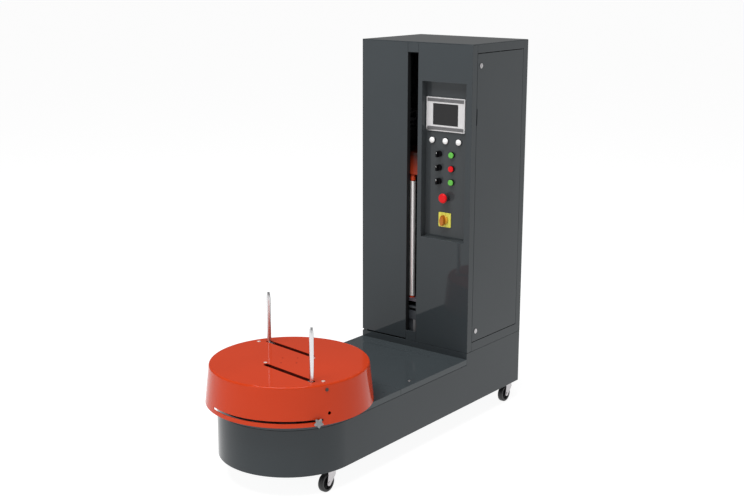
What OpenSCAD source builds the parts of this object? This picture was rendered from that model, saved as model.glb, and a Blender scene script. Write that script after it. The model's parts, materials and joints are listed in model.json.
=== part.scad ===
// Turntable wrapper for suitcases and other single loads.
// Millimetres, +Z up. The origin is the centre of the machine's plan, on the floor.
// -Y is the turntable end, +Y the cabinet end, and X is the width.

/* [Cabinet and base] */
// Width of the cabinet and of the base
cab_w = 600; // [560:10:720]
// Depth of the cabinet, front to back
cab_d = 455; // [440:5:560]
// Height of the cabinet above the base
cab_h = 1381; // [1300:1:1700]
// Distance from the cabinet's front to the turntable's axis
arm_len = 863; // [780:1:1100]
// Height of the base's lower edge above the floor
base_z = 95; // [92:1:110]
// Height of the base under the cabinet
base_h = 250; // [245:1:320]
// How far the deck lies below the top of the base
deck_drop = 28; // [20:1:40]
// Depth of the deck covers' side lips
deck_lip = 25; // [15:1:40]
// Thickness of the sheet metal
sheet = 3; // [2:0.5:4]
// Length of the front deck cover beyond the turntable's axis
cover_reach = 363; // [355:1:420]

/* [Turntable] */
// Radius of the drum at the bottom of its skirt
drum_r = 347; // [330:1:420]
// How much smaller the drum is at its top edge
drum_taper = 17; // [8:1:25]
// Height of the drum
drum_h = 160; // [155:1:200]
// Gap between the skirt and the deck
skirt_gap = 3; // [2:0.5:8]
// Thickness of the drum's shell
drum_wall = 4; // [3:0.5:6]
// Turn of the pin slots from the machine's width, in degrees
slot_yaw = -8; // [-20:1:20]
// Distance of each pin slot from the axis
slot_offset = 103; // [90:1:120]
// Outer end of each pin's travel, along the slot
pin_out = 255; // [235:1:265]
// Width of a pin slot
slot_w = 24; // [20:0.5:25]
// Diameter of a pin
pin_d = 18; // [14:1:24]
// Height of a pin above the drum
pin_h = 225; // [120:5:350]
// Length of a pin's pointed end
pin_point = 42; // [20:1:60]
// Radius of the turntable's spindle
spindle_r = 30; // [25:1:34]
// Radius of the belt pulley under the deck
pulley_r = 150; // [120:1:160]
// Radius of the motor's pulley
motor_pulley_r = 35; // [25:1:45]
// Distance from the spindle to the motor's shaft
belt_reach = 330; // [300:1:360]

/* [Adjuster] */
// Turn of the cam disc over its whole travel, in degrees
cam_turn = 77; // [60:1:77]
// How far each pin moves over that turn
pin_travel = 240; // [160:5:240]
// Place of the knob on the skirt, in degrees
knob_at = -30.3; // [-35:0.1:-25]
// Radius of the star knob
knob_r = 19; // [15:1:20]
// Height of the middle of the skirt slot above the skirt's edge
skirt_slot_up = 21.5; // [20:0.5:30]
// Height of the skirt slot
skirt_slot_h = 10; // [9:0.5:14]

/* [Film slot and carriage] */
// Left side of the film slot
slot_x = -44; // [-60:1:-40]
// Width of the film slot
slot_open = 57.5; // [50:0.5:62]
// Depth of the folds beside the film slot
slot_fold = 23; // [10:1:30]
// Height of the sill plate below the slot
sill_h = 48; // [40:1:80]
// Height of the header plate above the slot
header_h = 47; // [40:1:80]
// Height of the carriage's bottom above the base, at rest
carriage_up = 184; // [180:1:220]
// Length of the guide roller
roller_len = 541; // [450:1:560]
// Diameter of the guide roller
roller_d = 27; // [20:1:34]
// Height of the carriage's head
head_h = 100; // [60:1:110]
// Travel of the carriage
lift = 450; // [300:10:450]

/* [Control panel] */
// Left side of the control recess
recess_x = 36; // [34:1:40]
// Width of the control recess
recess_w = 234; // [228:1:240]
// Height of the recess's lower edge above the base
recess_up = 507; // [480:1:560]
// Height of the control recess
recess_h = 704; // [690:1:720]
// Depth of the control recess
recess_deep = 37; // [30:1:45]
// Width of the touch panel
hmi_w = 204.6; // [180:0.2:206]
// Height of the touch panel
hmi_h = 149.6; // [130:0.2:152]

/* [Door] */
// Width of the posts beside the door
post_w = 38; // [35:1:45]
// Height of the rails above and below the door
rail_h = 40; // [30:1:50]
// Gap along the door's upright edges
door_gap = 1.5; // [1.5:0.1:2.5]
// Gap above and below the door
door_gap_z = 3.5; // [1.5:0.5:5]
// Diameter of a lock's head
lock_d = 22; // [18:1:26]

/* [Casters] */
// Diameter of a caster's wheel
wheel_d = 80; // [60:1:80]
// Width of a caster's wheel
wheel_w = 26; // [20:1:30]
// How far the wheel trails behind the swivel
trail = 18; // [15:1:30]

/* [Hidden] */
$fn = 96;
clear = 0.3;        // between pieces that move past each other
fit = 0.05;         // radial clearance of a shaft in its bore
tube_wall = 3;

// Plan: the machine's length is the drum's overhang, the arm and the cabinet.
total_len = drum_r + arm_len + cab_d;
tt_y = -total_len / 2 + drum_r;
front_y = tt_y + arm_len;
back_y = front_y + cab_d;
half_w = cab_w / 2;

// Levels
base_top = base_z + base_h;
deck_z = base_top - deck_drop;
lip_z = deck_z - deck_lip;
cab_top = base_top + cab_h;
floor_z = base_z + 10;
floor_t = 4;
skirt_z = deck_z + skirt_gap;
drum_z = skirt_z + drum_h;
drum_under = drum_z - drum_wall;

// Drum
drum_top_r = drum_r - drum_taper;
edge_r = 8;
hub_r = 60;
boss_r = 45;
rail_deep = 20;
rail_z = drum_under - rail_deep;
cam_t = 6;
cam_z = rail_z - cam_t - 1;
cam_r = min(300, drum_top_r - 28);
block_w = 30;
block_l = 44;
skirt_slot_z = skirt_z + skirt_slot_up;
knob_z = max(skirt_slot_z - 4, deck_z + knob_r + 1.5);
tab_r = drum_r + 2.5;
tab_t = 3;
knob_t = 14;
stud_r = 4;

// Drive under the deck
pulley_z = floor_z + floor_t + 81;
pulley_t = 24;
belt_t = 4;
beam = 40;
stand_top = deck_z - sheet;
housing_t = 12;
housing_r = 60;
beam_z = stand_top - housing_t - beam;
beam_y = housing_r + 10 + beam / 2;
housing_z = beam_z - 34;
gear_z = floor_z + floor_t + 16;
gear_h = pulley_z - 6 - gear_z;
shaft_r = 7;

// Cabinet
slot_right = slot_x + slot_open;
recess_z = base_top + recess_up;
panel_y = front_y + recess_deep;
tray_t = 2;
door_y0 = front_y + post_w;
door_y1 = back_y - post_w - 1;
door_z0 = base_top + rail_h + 2;
door_z1 = cab_top - rail_h + 1;
fold = 15;
tube = 20;
pivot_gap = door_gap + 0.5;  // the door's rear corner swings through this
pivot_in = 3.5;              // from the door's outer face and rear edge to its pivots
pivot_r = 2;
pivot_l = 14;
pivot_x = half_w - pivot_in;
pivot_y = door_y1 - pivot_gap - pivot_in;
lock_y = front_y + 65;
lock_rim = 1.5;
lock_zs = [door_z1 - 55, door_z0 + 50];

// Mast, carriage and lift
mast_w = 90;
mast_d = 60;
mast_x = -30;
mast_y = back_y - 87.5;
car_z = base_top + carriage_up;
plate_t = 14;
collar_h = 34;
collar_r = 12.5;
boss_h = 8;
roller_z = car_z + plate_t + boss_h + 1;
head_z = roller_z + roller_len + collar_h;
head_top = head_z + head_h;
roller_x = -41;
roller_y = front_y + 45;
nose_x = [-75, slot_right + 8.5];
body_x = [-150, 230];
nose_y = front_y + 27.5;
body_y = front_y + 113;
back_plate_y = mast_y - 50;
mandrel_x = 105;
mandrel_y = front_y + 222;
mandrel_r = 37;
tension_x = -75;
tension_y = front_y + 190;
screw_x = mast_x + mast_w / 2 + 45;
screw_y = mast_y;
screw_r = 10;
journal_r = 7;
roller_pin_r = 5;
mandrel_pin_r = 8;

// Casters
swivels = [
  [-half_w + 46, tt_y - 56], [half_w - 46, tt_y - 56],
  [-half_w + 36, back_y - 50], [half_w - 36, back_y - 50]
];
wheel_r = wheel_d / 2;
axle_r = 4;
fork_gap = wheel_w / 2 + 2;
fork_t = 3;
crown_z = max(wheel_d + 6, base_z - 12);
kingpin_r = 6;

// Devices on the control panel, by their centres across and up the panel
panel_x = recess_x + 106.5;
hmi_z = recess_z + 559;
lamp_xs = [-71.5, 0, 70.5];
lamp_z = recess_z + 442;
row_zs = [382, 320, 259];
selector_x = panel_x - 33.5;
button_x = panel_x + 34.5;
estop_x = panel_x + 7.5;
estop_z = recess_z + 188;
switch_x = panel_x + 1;
switch_z = recess_z + 85;
neck_r = 11;
bezel_r = 14.5;
bezel_h = 4;
switch_size = 66;

// ---- Helpers ----

// A box from its lowest corner to its highest corner.
module span(lo, hi) {
  translate(lo) cube(hi - lo);
}

module slab(z0, z1) {
  translate([0, 0, z0]) linear_extrude(height = z1 - z0) children();
}

module at_turntable(turn = 0) {
  translate([0, tt_y, 0]) rotate([0, 0, turn]) children();
}

// Local +Z points out of the control panel, local +Y points up.
module on_panel(x, z) {
  translate([x, panel_y, z]) rotate([90, 0, 0]) children();
}

module at_each(list) {
  for (p = list) translate([p[0], p[1], 0]) children();
}

// A straight-sided ring or disc between two levels.
module ring(r_out, r_in, z0, z1) {
  translate([0, 0, z0]) difference() {
    cylinder(r = r_out, h = z1 - z0);
    if (r_in > 0) translate([0, 0, -1]) cylinder(r = r_in, h = z1 - z0 + 2);
  }
}

// A square steel tube standing on the origin.
module square_tube(size, length) {
  difference() {
    translate([-size / 2, -size / 2, 0]) cube([size, size, length]);
    translate([-size / 2 + tube_wall, -size / 2 + tube_wall, -1])
      cube([size - 2 * tube_wall, size - 2 * tube_wall, length + 2]);
  }
}

// Plan of the base: straight sides and a round end about the turntable.
module base_plan(inset) {
  translate([-half_w + inset, tt_y]) square([cab_w - 2 * inset, back_y - tt_y - inset]);
  translate([0, tt_y]) circle(r = half_w - inset);
}

module base_wall(outer, inner) {
  difference() {
    base_plan(outer);
    base_plan(inner);
  }
}

// Two circles and their outer tangents, the first at the origin and the other along +Y.
module belt_plan(r1, r2, reach) {
  a = acos((r1 - r2) / reach);
  circle(r = r1);
  translate([0, reach]) circle(r = r2);
  polygon([
    [r1 * sin(a), r1 * cos(a)], [r2 * sin(a), reach + r2 * cos(a)],
    [-r2 * sin(a), reach + r2 * cos(a)], [-r1 * sin(a), r1 * cos(a)]
  ]);
}

// ---- Base ----

module base_shell() {
  color("#4a4e51") {
    slab(base_z, lip_z - 1) base_wall(0, sheet);
    // a stepped rim carries the deck covers
    slab(lip_z - 12, deck_z - sheet) intersection() {
      base_wall(sheet, 2 * sheet);
      translate([-half_w, tt_y - half_w]) square([cab_w, front_y - tt_y + half_w]);
    }
    // the part under the cabinet stands above the deck
    difference() {
      span([-half_w, front_y, lip_z - 12], [half_w, back_y, base_top]);
      span([-half_w + sheet, front_y + sheet, lip_z - 13],
        [half_w - sheet, back_y - sheet, base_top - sheet]);
      // opening for the cables between the base and the cabinet
      span([90, back_y - 200, base_top - 2 * sheet], [230, back_y - 120, base_top + 1]);
    }
  }
}

module base_floor() {
  color("#55595c") difference() {
    slab(floor_z, floor_z + floor_t) base_plan(sheet);
    at_turntable() translate([0, 0, floor_z - 1]) cylinder(r = 40, h = floor_t + 2);
  }
}

// A deck cover from y0 to y1, with lips down the outside of the base.
module deck_cover(y0, y1) {
  intersection() {
    union() {
      slab(deck_z - sheet, deck_z) base_plan(0);
      slab(lip_z, deck_z - 1) base_wall(0, sheet - clear);
    }
    span([-half_w - 1, y0, lip_z - 1], [half_w + 1, y1, deck_z + 1]);
  }
}

cover_joint_y = tt_y + cover_reach;
front_hole_x = half_w - 34;
rear_screw_x = half_w - 36;
rear_hole_x = half_w - 22;
front_holes = [[-front_hole_x, tt_y + 288], [front_hole_x, tt_y + 288]];
rear_screws = [[-rear_screw_x, cover_joint_y + 110], [rear_screw_x, cover_joint_y + 110]];
rear_holes = [[-rear_hole_x, front_y - 99], [rear_hole_x, front_y - 99]];
deck_hole_r = 5.5;

module front_deck_cover() {
  color("#4a4e51") difference() {
    deck_cover(tt_y - half_w - 1, cover_joint_y - 0.5);
    at_turntable() translate([0, 0, deck_z - sheet - 1]) cylinder(r = boss_r + 10, h = sheet + 2);
    at_each(front_holes) translate([0, 0, deck_z - sheet / 2]) cylinder(r = deck_hole_r, h = sheet);
  }
}

module rear_deck_cover() {
  color("#4a4e51") difference() {
    deck_cover(cover_joint_y + 0.5, front_y - clear);
    at_each(rear_holes) translate([0, 0, deck_z - sheet / 2]) cylinder(r = deck_hole_r, h = sheet);
  }
}

module deck_screws() {
  head_r = 7;
  color("silver") at_each(rear_screws) difference() {
    union() {
      translate([0, 0, deck_z]) cylinder(r = head_r, h = 1.5);
      translate([0, 0, deck_z + 1.5]) cylinder(r1 = head_r, r2 = 4.5, h = 1.5);
    }
    translate([0, 0, deck_z + 1]) cylinder(r = 2.5, h = 3, $fn = 6);
  }
}

// ---- Casters ----

module caster_plates() {
  plate_w = 54;
  plate_l = 70;
  bolt_x = plate_w / 2 - 7;
  bolt_y = plate_l / 2 - 7;
  color("silver") at_each(swivels) difference() {
    union() {
      span([-plate_w / 2, -plate_l / 2, floor_z - 3], [plate_w / 2, plate_l / 2, floor_z]);
      ring(20, 0, crown_z + 4 + clear, floor_z - 3);
      ring(kingpin_r, 0, crown_z - 4, floor_z - 2);
      ring(10, 0, crown_z - 5, crown_z - clear);
    }
    // holes for the mounting bolts
    for (x = [-bolt_x, bolt_x], y = [-bolt_y, bolt_y]) {
      translate([x, y, floor_z - 5]) cylinder(r = 3.5, h = 6);
    }
  }
}

// The fork's side, from the crown down and back to the axle.
module fork_side() {
  rotate([90, 0, 90]) linear_extrude(height = fork_t) union() {
    polygon([
      [-20, crown_z + 4], [20, crown_z + 4], [22, crown_z - 18],
      [-trail + 11, wheel_r - 5], [-trail - 12, wheel_r - 1], [-24, crown_z - 14]
    ]);
    translate([-trail, wheel_r]) circle(r = 12);
  }
}

module caster_fork(at) {
  fork_x = fork_gap + fork_t;
  nut_r = 7;
  nut_t = 2;
  color("silver") translate([at[0], at[1], 0]) {
    difference() {
      span([-fork_x, -20, crown_z], [fork_x, 20, crown_z + 4]);
      translate([0, 0, crown_z - 1]) cylinder(r = kingpin_r + fit, h = 6);
    }
    for (x = [-fork_x, fork_gap]) translate([x, 0, 0]) fork_side();
    translate([0, -trail, wheel_r]) rotate([0, 90, 0]) {
      translate([0, 0, -fork_x - nut_t]) cylinder(r = axle_r, h = 2 * (fork_x + nut_t));
      for (z = [-fork_x - nut_t, fork_x]) translate([0, 0, z]) cylinder(r = nut_r, h = nut_t, $fn = 6);
    }
  }
}

module caster_wheel(at) {
  crown = 3;
  flank = wheel_w / 2;
  color("#1c1d1e") translate([at[0], at[1] - trail, wheel_r]) rotate([0, 90, 0])
    rotate_extrude() polygon([
      [axle_r + fit, -flank], [13, -flank], [16, -flank + 4], [wheel_r - 13, -flank + 4],
      [wheel_r - 9, -flank + 1], [wheel_r - crown, -flank + 1], [wheel_r, -flank + 6],
      [wheel_r, flank - 6], [wheel_r - crown, flank - 1], [wheel_r - 9, flank - 1],
      [wheel_r - 13, flank - 4], [16, flank - 4], [13, flank], [axle_r + fit, flank]
    ]);
}

// ---- Turntable drive ----

module turntable_stand() {
  leg_x = half_w - 70;
  plate_x = 110;
  color("#6b7075") at_turntable() {
    for (y = [-beam_y, beam_y]) {
      translate([-leg_x, y, beam_z + beam / 2]) rotate([0, 90, 0]) square_tube(beam, 2 * leg_x);
      for (x = [-leg_x + beam / 2, leg_x - beam / 2]) {
        translate([x, y, floor_z + floor_t]) square_tube(beam, beam_z - floor_z - floor_t);
      }
    }
    // the bearing housing hangs from a plate on the two beams
    difference() {
      union() {
        span([-plate_x, -beam_y - beam / 2, beam_z + beam], [plate_x, beam_y + beam / 2, stand_top]);
        ring(housing_r, 0, housing_z, beam_z + beam);
      }
      translate([0, 0, housing_z - 1]) cylinder(r = spindle_r + fit, h = stand_top - housing_z + 2);
    }
  }
}

module turntable_spindle() {
  rim_in = pulley_r - 14;
  flange_t = 3;
  color("#9aa0a5") at_turntable() {
    ring(hub_r, 0, drum_under - 10, drum_under);
    ring(boss_r, 0, cam_z - 12, drum_under - 10);
    ring(boss_r + 9, 0, cam_z - 12, cam_z - clear);
    ring(spindle_r, 0, pulley_z - 12, cam_z - 12);
    ring(spindle_r + 12, 0, stand_top + clear, cam_z - 12);
    // belt pulley with a rim, two flanges and a thin web
    ring(pulley_r, rim_in, pulley_z, pulley_z + pulley_t);
    ring(rim_in + 1, 0, pulley_z + 8, pulley_z + 16);
    ring(spindle_r + 16, 0, pulley_z - 4, pulley_z + pulley_t + 4);
    for (z = [pulley_z - flange_t, pulley_z + pulley_t]) ring(pulley_r + 5, rim_in, z, z + flange_t);
  }
}

module turntable_motor() {
  foot = 60;
  gear = 50;
  motor_r = min(45, gear_h / 2 + 12);
  motor_l = 150;
  color("#5f6a73") translate([0, tt_y + belt_reach, 0]) {
    span([-foot, -foot, floor_z + floor_t], [foot, foot, gear_z]);
    span([-gear, -gear, gear_z], [gear, gear, gear_z + gear_h]);
    translate([0, gear - 1, gear_z + gear_h / 2]) rotate([-90, 0, 0]) {
      cylinder(r = 38, h = 15);
      translate([0, 0, 14]) cylinder(r = motor_r, h = motor_l);
      translate([0, 0, 13 + motor_l]) cylinder(r = motor_r - 4, h = 22);
    }
    ring(shaft_r + 2, 0, gear_z + gear_h - 1, pulley_z - 2);
    ring(shaft_r, 0, pulley_z - 3, pulley_z + pulley_t + 4);
  }
}

module motor_pulley() {
  flange_t = 1.5;
  color("#b8bcc0") translate([0, tt_y + belt_reach, 0]) difference() {
    union() {
      ring(motor_pulley_r, 0, pulley_z, pulley_z + pulley_t);
      for (z = [pulley_z - flange_t, pulley_z + pulley_t]) ring(motor_pulley_r + 3, 0, z, z + flange_t);
    }
    translate([0, 0, pulley_z - 5]) cylinder(r = shaft_r + fit, h = pulley_t + 10);
  }
}

module turntable_belt() {
  color("#222426") at_turntable() slab(pulley_z + 1, pulley_z + pulley_t - 1) difference() {
    belt_plan(pulley_r + clear + belt_t, motor_pulley_r + clear + belt_t, belt_reach);
    belt_plan(pulley_r + clear, motor_pulley_r + clear, belt_reach);
  }
}

// ---- Turntable drum, cam and pins ----

// The quarter round between the drum's top and its skirt.
function edge_arc(r, z, round_r, steps) =
  [for (i = [0:steps]) let (a = 90 - 86 * i / steps)
    [r - round_r + round_r * cos(a), z - round_r + round_r * sin(a)]];

module drum_profile() {
  polygon(concat(
    [[0, drum_z]],
    edge_arc(drum_top_r, drum_z, edge_r, 8),
    [[drum_r, skirt_z], [drum_r - drum_wall, skirt_z]],
    [[drum_top_r - drum_wall, drum_z - edge_r], [drum_top_r - edge_r, drum_under], [0, drum_under]]
  ));
}

// Everything below is in the drum's own frame: x along the pin slots, with the second side
// the first turned by half a turn.
module both_sides() {
  for (turn = [0, 180]) rotate([0, 0, turn]) children();
}

module slot_shape(half, r, x0, x1) {
  translate([x0, half]) circle(r = r);
  translate([x1, half]) circle(r = r);
  translate([x0, half - r]) square([x1 - x0, 2 * r]);
}

rail_in = block_w / 2 + clear;
rail_w = 10;
rail_lip_t = 4;
slot_in = min(22, pin_travel - pin_out + 37);
rail_x = [-pin_out - 27, slot_in + 23];
drum_screws_at = [[rail_x[0] - 3, slot_offset - 33], [rail_x[1] + 1, slot_offset - 14]];

// Guide rails of one slider block, with lips below it and a stop at each end.
module drum_rails() {
  lip_in = 8.7;
  stop_t = 6;
  translate([0, slot_offset, 0]) {
    for (side = [0, 1]) mirror([0, side, 0]) {
      span([rail_x[0], rail_in, rail_z], [rail_x[1], rail_in + rail_w, drum_under]);
      span([rail_x[0], lip_in, rail_z], [rail_x[1], rail_in + clear, rail_z + rail_lip_t]);
    }
    for (x = [rail_x[0] - stop_t, rail_x[1]]) {
      span([x, -rail_in - rail_w, rail_z], [x + stop_t, rail_in + rail_w, drum_under]);
    }
  }
}

// Outer radius of the skirt at a height.
function skirt_r(z) = drum_r - drum_taper * (z - skirt_z) / (drum_h - edge_r);

skirt_hole_z = [skirt_z + 138, skirt_z + 44];
skirt_hole_at = [-22.6, -21.6];
skirt_hole_r = 7;

module turntable_drum() {
  color("#c8472b") at_turntable(slot_yaw) difference() {
    union() {
      rotate_extrude() drum_profile();
      both_sides() drum_rails();
    }
    both_sides() translate([0, 0, drum_under - 1]) linear_extrude(height = drum_wall + 2)
      slot_shape(slot_offset, slot_w / 2, -pin_out - 2, slot_in);
    // slot in the skirt for the adjuster's arm
    rotate([0, 0, knob_at - slot_yaw - cam_turn - 3]) translate([0, 0, skirt_slot_z - skirt_slot_h / 2])
      rotate_extrude(angle = cam_turn + 7)
        translate([drum_top_r - 10, 0]) square([drum_taper + 20, skirt_slot_h]);
    rotate([0, 0, skirt_hole_at[1] - slot_yaw]) translate([drum_r - 30, 0, skirt_hole_z[1]])
      rotate([0, 90, 0]) cylinder(r = skirt_hole_r, h = 40);
    // four small blind holes about the middle
    for (turn = [0:90:270]) rotate([0, 0, turn]) translate([44, 0, drum_z - 1])
      cylinder(r = 3.5, h = 2);
  }
}

module drum_screws() {
  head_r = 8;
  color("silver") at_turntable(slot_yaw) both_sides() at_each(drum_screws_at) {
    translate([0, 0, drum_z]) cylinder(r = head_r, h = 0.8);
    translate([0, 0, drum_z + 0.8]) cylinder(r1 = head_r, r2 = 6.5, h = 0.8);
  }
  // the skirt's upper screw
  color("#5a4a46") at_turntable(skirt_hole_at[0])
    translate([skirt_r(skirt_hole_z[0]) + clear / 2, 0, skirt_hole_z[0]])
      rotate([0, 90 - atan(drum_taper / drum_h), 0]) cylinder(r = skirt_hole_r, h = 2.5);
}

// Where a pin's follower lies in the cam disc's own frame, after a part of the turn.
function cam_point(part) =
  let (x = -pin_out + pin_travel * part, y = slot_offset, a = cam_turn * part)
  [x * cos(a) - y * sin(a), x * sin(a) + y * cos(a)];

follower_r = 6;
cam_slot_r = follower_r + 0.4;

function cam_side(part, side) =
  let (p = cam_point(part), q = cam_point(part + 0.001), d = q - p)
  p + side * cam_slot_r * [-d[1], d[0]] / norm(d);

module cam_slot() {
  steps = 20;
  polygon(concat(
    [for (i = [0:steps]) cam_side(i / steps, 1)],
    [for (i = [steps:-1:0]) cam_side(i / steps, -1)]
  ));
  for (end = [0, 1]) translate(cam_point(end)) circle(r = cam_slot_r);
}

module cam_disc() {
  arm_w = 18;
  arm_t = 5;
  window_r = 50;
  arm_z = skirt_slot_z - arm_t / 2;
  color("#a9aeb2") {
    at_turntable(slot_yaw) slab(cam_z, cam_z + cam_t) difference() {
      circle(r = cam_r);
      circle(r = boss_r + fit);
      both_sides() cam_slot();
      both_sides() rotate(120) translate([cam_r * 0.6, 0]) circle(r = window_r);
    }
    at_turntable(knob_at) {
      span([cam_r - 12, -arm_w / 2, arm_z], [cam_r - 12 + arm_t, arm_w / 2, cam_z + 1]);
      span([cam_r - 12, -arm_w / 2, arm_z], [tab_r + tab_t, arm_w / 2, arm_z + arm_t]);
      span([tab_r, -arm_w / 2, knob_z - arm_w / 2], [tab_r + tab_t, arm_w / 2, arm_z + arm_t]);
      translate([tab_r + tab_t - 1, 0, knob_z]) rotate([0, 90, 0]) cylinder(r = stud_r, h = knob_t - 1);
    }
  }
}

module star_knob() {
  lobe_r = 4.5;
  color("#8d9194") at_turntable(knob_at) translate([tab_r + tab_t + clear, 0, knob_z])
    rotate([0, 90, 0]) difference() {
      union() {
        cylinder(r = 11, h = knob_t);
        for (a = [0:72:359]) rotate([0, 0, a]) {
          translate([knob_r - lobe_r, 0, 2]) cylinder(r = lobe_r, h = knob_t - 5);
          translate([0, -lobe_r, 2]) cube([knob_r - lobe_r, 2 * lobe_r, knob_t - 5]);
        }
      }
      translate([0, 0, -1]) cylinder(r = stud_r + fit, h = knob_t - 1);
    }
}

// A pin with its slider block and the follower that the cam drives.
module drum_pin(turn) {
  color("#c9cdd0") at_turntable(slot_yaw + turn) translate([-pin_out, slot_offset, 0]) {
    translate([0, 0, drum_z + clear]) {
      cylinder(r = pin_d / 2, h = pin_h - pin_point);
      translate([0, 0, pin_h - pin_point]) rotate_extrude() polygon(concat(
        [[0, 0]],
        [for (i = [0:7]) let (t = i / 8) [pin_d / 2 * sqrt(1 - t * t), pin_point * t]],
        [[0, pin_point]]
      ));
    }
    ring(min(pin_d / 2 - 1.2, slot_w / 2 - 0.5), 0, drum_under - 2, drum_z + 1);
    span([-block_l / 2, -block_w / 2, rail_z + rail_lip_t + clear],
      [block_l / 2, block_w / 2, drum_under - clear]);
    ring(follower_r, 0, cam_z + 0.5, rail_z + rail_lip_t + 1);
  }
}

// ---- Cabinet ----

module cabinet_frame() {
  x = half_w - sheet - 1;
  y0 = front_y + sheet + 2;
  y1 = back_y - sheet - 1;
  z1 = cab_top - sheet;
  color("#6b7075") {
    for (sx = [-x, x - tube], sy = [y0, y1 - tube]) {
      translate([sx + tube / 2, sy + tube / 2, base_top + tube])
        square_tube(tube, z1 - base_top - 2 * tube);
    }
    for (z = [base_top, z1 - tube]) {
      for (sx = [-x, x - tube]) span([sx, y0, z], [sx + tube, y1, z + tube]);
      span([-x, y1 - tube, z], [x, y1, z + tube]);
    }
    for (z = [base_top, z1 - tube]) {
      span([mast_x - mast_w / 2 - 5, mast_y - mast_d / 2 - 12, z],
        [mast_x + mast_w / 2 + 5, y1 - tube, z + 12]);
    }
    span([-x, y0, z1 - tube], [x, y0 + tube, z1]);
  }
}

fold_top = cab_top - sheet - tube - 1;
slot_edge = 0.5;  // the panels stop this far outside the slot plates

module left_panel() {
  gap = 7;
  color("#4a4e51") {
    span([-half_w, front_y, base_top + gap], [slot_x - slot_edge, front_y + sheet, cab_top - sheet]);
    span([-half_w, front_y, base_top + gap], [-half_w + sheet, back_y, cab_top - sheet]);
    span([slot_x - slot_edge - sheet, front_y, base_top + gap],
      [slot_x - slot_edge, front_y + slot_fold, fold_top]);
  }
}

module right_front_panel() {
  z0 = base_top + 1;
  z1 = cab_top - sheet;
  color("#4a4e51") {
    difference() {
      span([slot_right + slot_edge, front_y, z0], [half_w, front_y + sheet, z1]);
      span([recess_x, front_y - 1, recess_z], [recess_x + recess_w, front_y + sheet + 1, recess_z + recess_h]);
    }
    span([half_w - sheet, front_y, z0], [half_w, door_y0, z1]);
    span([slot_right + slot_edge, front_y, z0], [slot_right + slot_edge + sheet, front_y + slot_fold, fold_top]);
  }
}

module slot_plates() {
  seam = 0.5;
  color("#4a4e51") {
    span([slot_x + seam, front_y, base_top + 1], [slot_right - seam, front_y + sheet, base_top + sill_h]);
    span([slot_x + seam, front_y, cab_top - header_h], [slot_right - seam, front_y + sheet, cab_top - sheet]);
  }
}

module right_side_frame() {
  lug_h = 8;
  x0 = half_w - sheet;
  z0 = base_top + 1;
  z1 = cab_top - sheet;
  color("#4a4e51") {
    span([x0, door_y0 + clear, z0], [half_w, back_y, door_z0]);
    span([x0, door_y0 + clear, door_z1], [half_w, back_y, z1]);
    span([x0, door_y1, z0], [half_w, back_y, z1]);
    // folded stop along the rear post
    span([x0 - fold, door_y1 + 6, door_z0], [x0, door_y1 + 6 + sheet, door_z1]);
    // a lug behind each rail carries one of the door's pivot pins
    for (z = [door_z0 - lug_h, door_z1]) {
      span([pivot_x - 8, pivot_y - 8, z], [x0 + 1, pivot_y + 8, z + lug_h]);
    }
    translate([pivot_x, pivot_y, door_z0 - 1]) cylinder(r = pivot_r, h = pivot_l);
    translate([pivot_x, pivot_y, door_z1 + 1 - pivot_l]) cylinder(r = pivot_r, h = pivot_l);
  }
}

inlet_x = -half_w + 90;
inlet_z = base_top + 90;
inlet_size = 60;

module rear_panel() {
  x = half_w - sheet - clear;
  louvre_w = 130;
  color("#4a4e51") difference() {
    span([-x, back_y - sheet, base_top + 1], [x, back_y, cab_top - sheet]);
    // louvre slots for the electrical side
    for (z = [cab_top - 330:28:cab_top - 140], sx = [-190, 60]) {
      span([sx, back_y - sheet - 1, z], [sx + louvre_w, back_y + 1, z + 8]);
    }
    translate([inlet_x - inlet_size / 2, back_y - sheet - 1, inlet_z - inlet_size / 2])
      cube([inlet_size, sheet + 2, inlet_size]);
  }
}

module cabinet_top() {
  color("#53585b") span([-half_w, front_y, cab_top - sheet], [half_w, back_y, cab_top]);
}

// Recessed mains inlet at the foot of the rear panel.
module power_inlet() {
  half = inlet_size / 2 - 0.5;
  color("#1f2123") translate([inlet_x, back_y, inlet_z]) difference() {
    span([-half, -50, -half], [half, -0.5, half]);
    translate([0, 1, 0]) rotate([90, 0, 0]) cylinder(r = 22, h = 36);
  }
}

module side_door() {
  x1 = half_w;
  x0 = half_w - sheet;
  y0 = door_y0 + door_gap;
  y1 = door_y1 - pivot_gap;
  z0 = door_z0 + door_gap_z;
  z1 = door_z1 - door_gap_z;
  pull_z = door_z0 + (door_z1 - door_z0) * 0.76;
  pull_w = 5;
  pull_h = 72;
  block = 11;
  block_h = 16;
  color("#4a4e51") difference() {
    union() {
      difference() {
        span([x1 - fold, y0, z0], [x1, y1, z1]);
        span([x1 - fold - 1, y0 + sheet, z0 + sheet], [x0, y1 - sheet, z1 - sheet]);
      }
      // blocks for the pivots in the rear corners
      for (z = [z0, z1 - block_h]) span([x1 - block, y1 - block, z], [x1, y1, z + block_h]);
    }
    translate([pivot_x, pivot_y, z0 - 1]) cylinder(r = pivot_r + fit, h = pivot_l);
    translate([pivot_x, pivot_y, z1 + 1 - pivot_l]) cylinder(r = pivot_r + fit, h = pivot_l);
    // finger pull in the front edge
    span([x1 - fold - 1, y0 - 1, pull_z], [x1 + 1, y0 + pull_w, pull_z + pull_h]);
    for (z = lock_zs) translate([x0 - 1, lock_y, z]) rotate([0, 90, 0])
      cylinder(r = lock_d / 2 - lock_rim + fit, h = sheet + 2);
  }
}

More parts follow.
